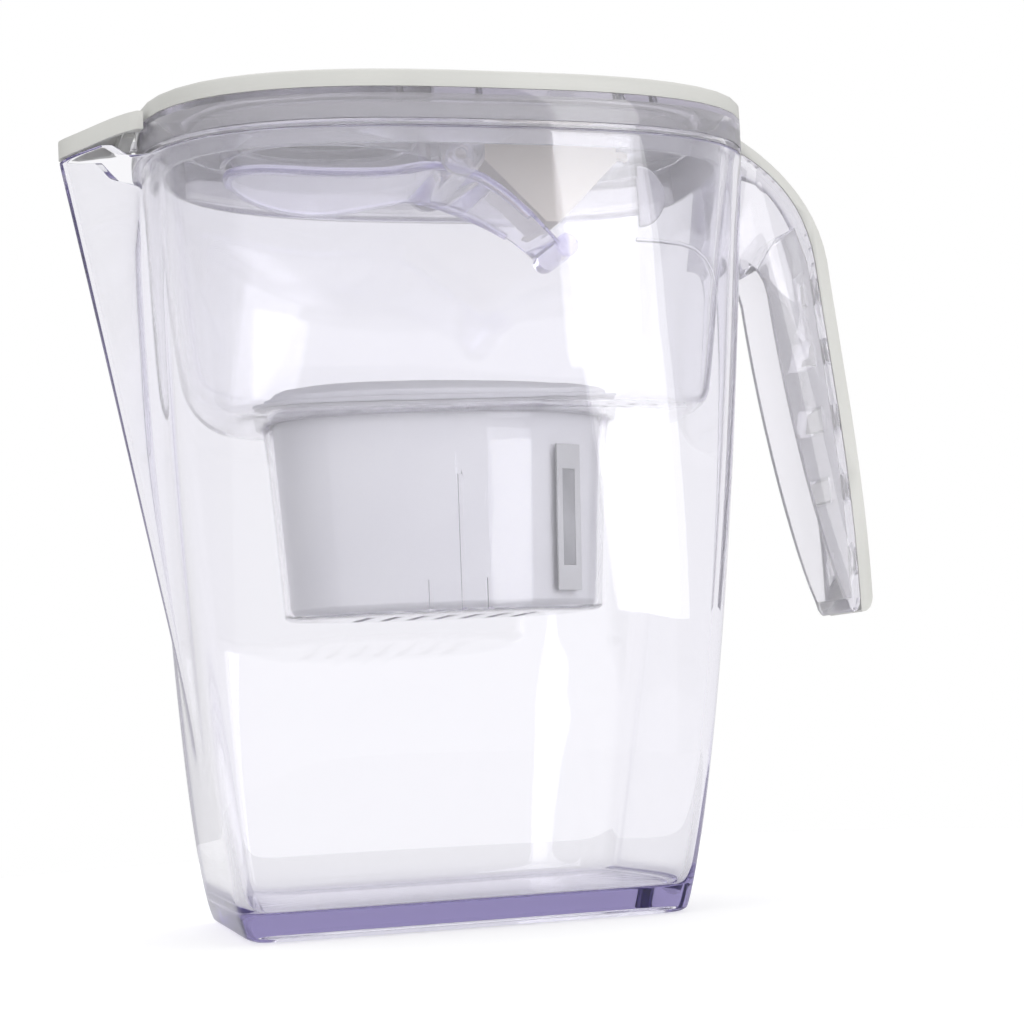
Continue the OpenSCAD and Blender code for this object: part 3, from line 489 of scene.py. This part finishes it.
# ABS, cream, satin: warmer and a touch duller than the lid
cream_abs = satin_plastic("cream_abs_satin", "#F3ECDF", "#EEE6D8", rough=(0.38, 0.48),
                          grain_mm=0.6, grain_depth=0.01, index=1.53)
take_over("indicator_housing", "indicator_box", "lid", cream_abs, round_mm=0.8, steps=3)

# Glass-fibre board under green mask: the copper shows as lighter green lines in relief, 3 mm apart
# along the board. A brick is half of its own unit long.
track_mm = 3
board_green, board_tree, board_place = start_material("circuit_board_green_mask")
tracks = add_node(board_tree, "ShaderNodeTexBrick",
                  {"Vector": board_place, "Color1": from_hex("#1E6B45"), "Color2": from_hex("#185A39"),
                   "Mortar": from_hex("#3E9367"), "Scale": 1000 / 2 / track_mm, "Mortar Size": 0.06})
board_relief = add_node(board_tree, "ShaderNodeBump",
                        {"Height": tracks.outputs["Fac"], "Strength": 0.6, "Distance": 0.00004})
board_skin = add_node(board_tree, "ShaderNodeBsdfPrincipled",
                      {"Base Color": tracks.outputs["Color"], "Roughness": 0.35,
                       "Normal": board_relief.outputs[0]})
add_node(board_tree, "ShaderNodeOutputMaterial", {"Surface": board_skin.outputs[0]})
dress("indicator_board", board_green)

# Pressed nickel-plated steel can, soft rings about its middle, drawn 3 mm apart so that they show
ring_mm = 3.14
cell_low, cell_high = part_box("coin_cell")
cell_can, cell_tree, cell_place = start_material("cell_can_pressed_steel")
about_cell = add_node(cell_tree, "ShaderNodeMapping",
                      {"Vector": cell_place, "Location": (cell_low + cell_high) / -2})
rings = add_node(cell_tree, "ShaderNodeTexWave",
                 {"Vector": about_cell.outputs[0], "Scale": 1000 * math.pi / 10 / ring_mm},
                 wave_type="RINGS", rings_direction="Z")
cell_gloss = add_node(cell_tree, "ShaderNodeMapRange",
                      {"Value": rings.outputs["Fac"], "To Min": 0.2, "To Max": 0.32})
cell_skin = add_node(cell_tree, "ShaderNodeBsdfPrincipled",
                     {"Base Color": from_hex("#CDCDCF"), "Metallic": 1.0,
                      "Roughness": cell_gloss.outputs[0]})
add_node(cell_tree, "ShaderNodeOutputMaterial", {"Surface": cell_skin.outputs[0]})
dress("coin_cell", cell_can)

# Display glass, unlit: grey-green, polished, with the faint cell pattern of the liquid layer
segment_mm = 1.5
lcd_glass, lcd_tree, lcd_place = start_material("display_glass_unlit")
segments = add_node(lcd_tree, "ShaderNodeTexChecker",
                    {"Vector": lcd_place, "Color1": from_hex("#9AA498"), "Color2": from_hex("#939D92"),
                     "Scale": 1000 / segment_mm})
lcd_skin = add_node(lcd_tree, "ShaderNodeBsdfPrincipled",
                    {"Base Color": segments.outputs["Color"], "Roughness": 0.12, "IOR": 1.52})
add_node(lcd_tree, "ShaderNodeOutputMaterial", {"Surface": lcd_skin.outputs[0]})
dress("lcd_panel", lcd_glass)

# Clear acrylic window, polished, set flush in the plate
window_clear = clear_plastic("clear_window_acrylic", "#FAFBFC", index=1.49, polish=(0.0, 0.02),
                             flow_mm=12, flow_depth=0.01, milk=0.0, absorbs=(8.0, 6.0, 5.0))
take_over("display_window", "window_pane", "lid", window_clear, round_mm=0.25)

# Lavender ABS button, finer grain and more gloss than the plate
lavender_abs = satin_plastic("lavender_abs", "#A9A6D2", "#A29FCC", rough=(0.28, 0.36),
                             grain_mm=0.4, grain_depth=0.006, index=1.53)
take_over("indicator_button", "button_cap", "button", lavender_abs, round_mm=0.5,
          steps=3, lofted=True)


# Filling door
# The oval flip lid in the plate, with a dished finger dip at the beak side. It turns on its pin at
# the handle side and lies flush with the plate when shut.

take_over("fill_door", "flip_lid", "door", white_abs, round_mm=0.4, lofted=True)


# Beak cover
# The small white flap over the beak. It carries on the plate's edge band to the beak's tip, hollow
# underneath, and swings up as water is poured.

take_over("beak_cover", "beak_flap", "spout_cover", white_abs, round_mm=0.4)


# Floor
# A pale round board under the jug. It keeps the jug's shadow, and its own tone is lifted for the
# camera alone, so that it runs out into the white background.

floor_radius, floor_z = 0.38, -0.0003
floor_white, floor_tree, floor_place = start_material("floor_pale_board")
floor_tone = add_node(floor_tree, "ShaderNodeTexNoise",
                      {"Vector": floor_place, "Scale": 12.0, "Detail": 3.0})
floor_mix = add_node(floor_tree, "ShaderNodeValToRGB", {"Fac": floor_tone.outputs[0]})
floor_mix.color_ramp.elements[0].color = from_hex("#EFEFEF")
floor_mix.color_ramp.elements[1].color = from_hex("#F3F3F3")
floor_seen = add_node(floor_tree, "ShaderNodeLightPath")
floor_board = add_node(floor_tree, "ShaderNodeBsdfDiffuse", {"Color": floor_mix.outputs[0]})
floor_lift = add_node(floor_tree, "ShaderNodeEmission", {"Color": (1, 1, 1, 1), "Strength": 0.3})
floor_both = add_node(floor_tree, "ShaderNodeAddShader",
                      {0: floor_board.outputs[0], 1: floor_lift.outputs[0]})
floor_pick = add_node(floor_tree, "ShaderNodeMixShader",
                      {0: floor_seen.outputs["Is Camera Ray"], 1: floor_board.outputs[0],
                       2: floor_both.outputs[0]})
add_node(floor_tree, "ShaderNodeOutputMaterial", {"Surface": floor_pick.outputs[0]})
bpy.ops.object.select_all(action="DESELECT")
bpy.ops.mesh.primitive_circle_add(vertices=128, radius=floor_radius, fill_type="NGON",
                                  location=(0, 0, floor_z))
studio_floor = bpy.context.active_object
studio_floor.name = "studio_floor"
studio_floor.data.materials.append(floor_white)


# Background and light
# White to the camera and through clear walls, a little less where a wall mirrors it, and softer still
# as light. Four soft lamps stand round the jug, and a broad one fills the front.

backdrop = bpy.data.worlds.new("studio_white")
bpy.context.scene.world = backdrop
backdrop.use_nodes = True
sky = backdrop.node_tree
sky.nodes.clear()
ray = add_node(sky, "ShaderNodeLightPath")
seen = add_node(sky, "ShaderNodeMath",
                {0: ray.outputs["Is Camera Ray"], 1: ray.outputs["Is Transmission Ray"]},
                operation="MAXIMUM")
room, mirror, white = (add_node(sky, "ShaderNodeBackground", {"Color": (1, 1, 1, 1), "Strength": strength})
                       for strength in (0.58, 0.62, 1.0))
unseen = add_node(sky, "ShaderNodeMixShader",
                  {0: ray.outputs["Is Glossy Ray"], 1: room.outputs[0], 2: mirror.outputs[0]})
final = add_node(sky, "ShaderNodeMixShader",
                 {0: seen.outputs[0], 1: unseen.outputs[0], 2: white.outputs[0]})
add_node(sky, "ShaderNodeOutputWorld", {"Surface": final.outputs[0]})


def softbox(name, place, aim, width, height, watts, mirrored=True, through=True):
    """A rectangular soft light that faces a point.

    One that isn't mirrored leaves no image in gloss, and one that doesn't show through leaves none
    behind the clear walls.
    """
    lamp = bpy.data.lights.new(name, "AREA")
    lamp.shape = "RECTANGLE"
    lamp.size = width
    lamp.size_y = height
    lamp.energy = watts
    holder = bpy.data.objects.new(name, lamp)
    holder.location = place
    holder.rotation_euler = (Vector(aim) - Vector(place)).to_track_quat("-Z", "Y").to_euler()
    holder.visible_camera = False
    holder.visible_transmission = through
    holder.visible_glossy = mirrored
    bpy.context.scene.collection.objects.link(holder)


# Tall and upright in front on the right: the near wall mirrors it as a bright upright band
softbox("key_softbox", place=(0.83, -1.5, 0.78), aim=(0.83, 0.0, 0.78), width=0.6, height=1.6, watts=8)
softbox("left_softbox", place=(-1.9, -0.45, 0.8), aim=(0.0, 0.0, 0.15), width=0.3, height=1.5, watts=3,
        mirrored=False, through=False)
softbox("front_fill", place=(-0.3, -2.2, 0.7), aim=(0.0, 0.0, 0.2), width=4.4, height=2.6, watts=18,
        mirrored=False)
softbox("back_fill", place=(0.3, 1.9, 0.5), aim=(0.0, 0.0, 0.15), width=1.4, height=0.8, watts=6.5,
        mirrored=False, through=False)
softbox("top_softbox", place=(0.1, 0.2, 1.6), aim=(0.0, 0.0, 0.1), width=1.2, height=1.0, watts=8)


# Camera
# It stands low, in front of the jug and toward the beak, looks slightly up and leans a little to one
# side, as the photograph was taken.

eye, aim = Vector((-0.17981, -0.69102, 0.06445)), Vector((0.0113, 0.0, 0.13115))
roll = math.radians(-2.83)
ahead = (aim - eye).normalized()
level_right = ahead.cross(Vector((0, 0, 1))).normalized()
level_up = level_right.cross(ahead)
right = level_right * math.cos(roll) + level_up * math.sin(roll)
up = level_up * math.cos(roll) - level_right * math.sin(roll)
camera_data = bpy.data.cameras.new("photo_camera")
camera_data.lens = 75.97
camera_data.sensor_width = 36.0
camera_data.clip_start = 0.01
camera = bpy.data.objects.new("photo_camera", camera_data)
camera.matrix_world = Matrix((right, up, -ahead)).transposed().to_4x4()
camera.location = eye
scene = bpy.context.scene
scene.collection.objects.link(camera)
scene.camera = camera
scene.view_settings.view_transform = "Standard"

# Light runs along inside the clear walls for many turns, and too few of them leave black lines
most_turns = 96
scene.cycles.max_bounces = most_turns
scene.cycles.transmission_bounces = most_turns
scene.cycles.glossy_bounces = most_turns
scene.cycles.transparent_max_bounces = most_turns
scene.cycles.diffuse_bounces = 3
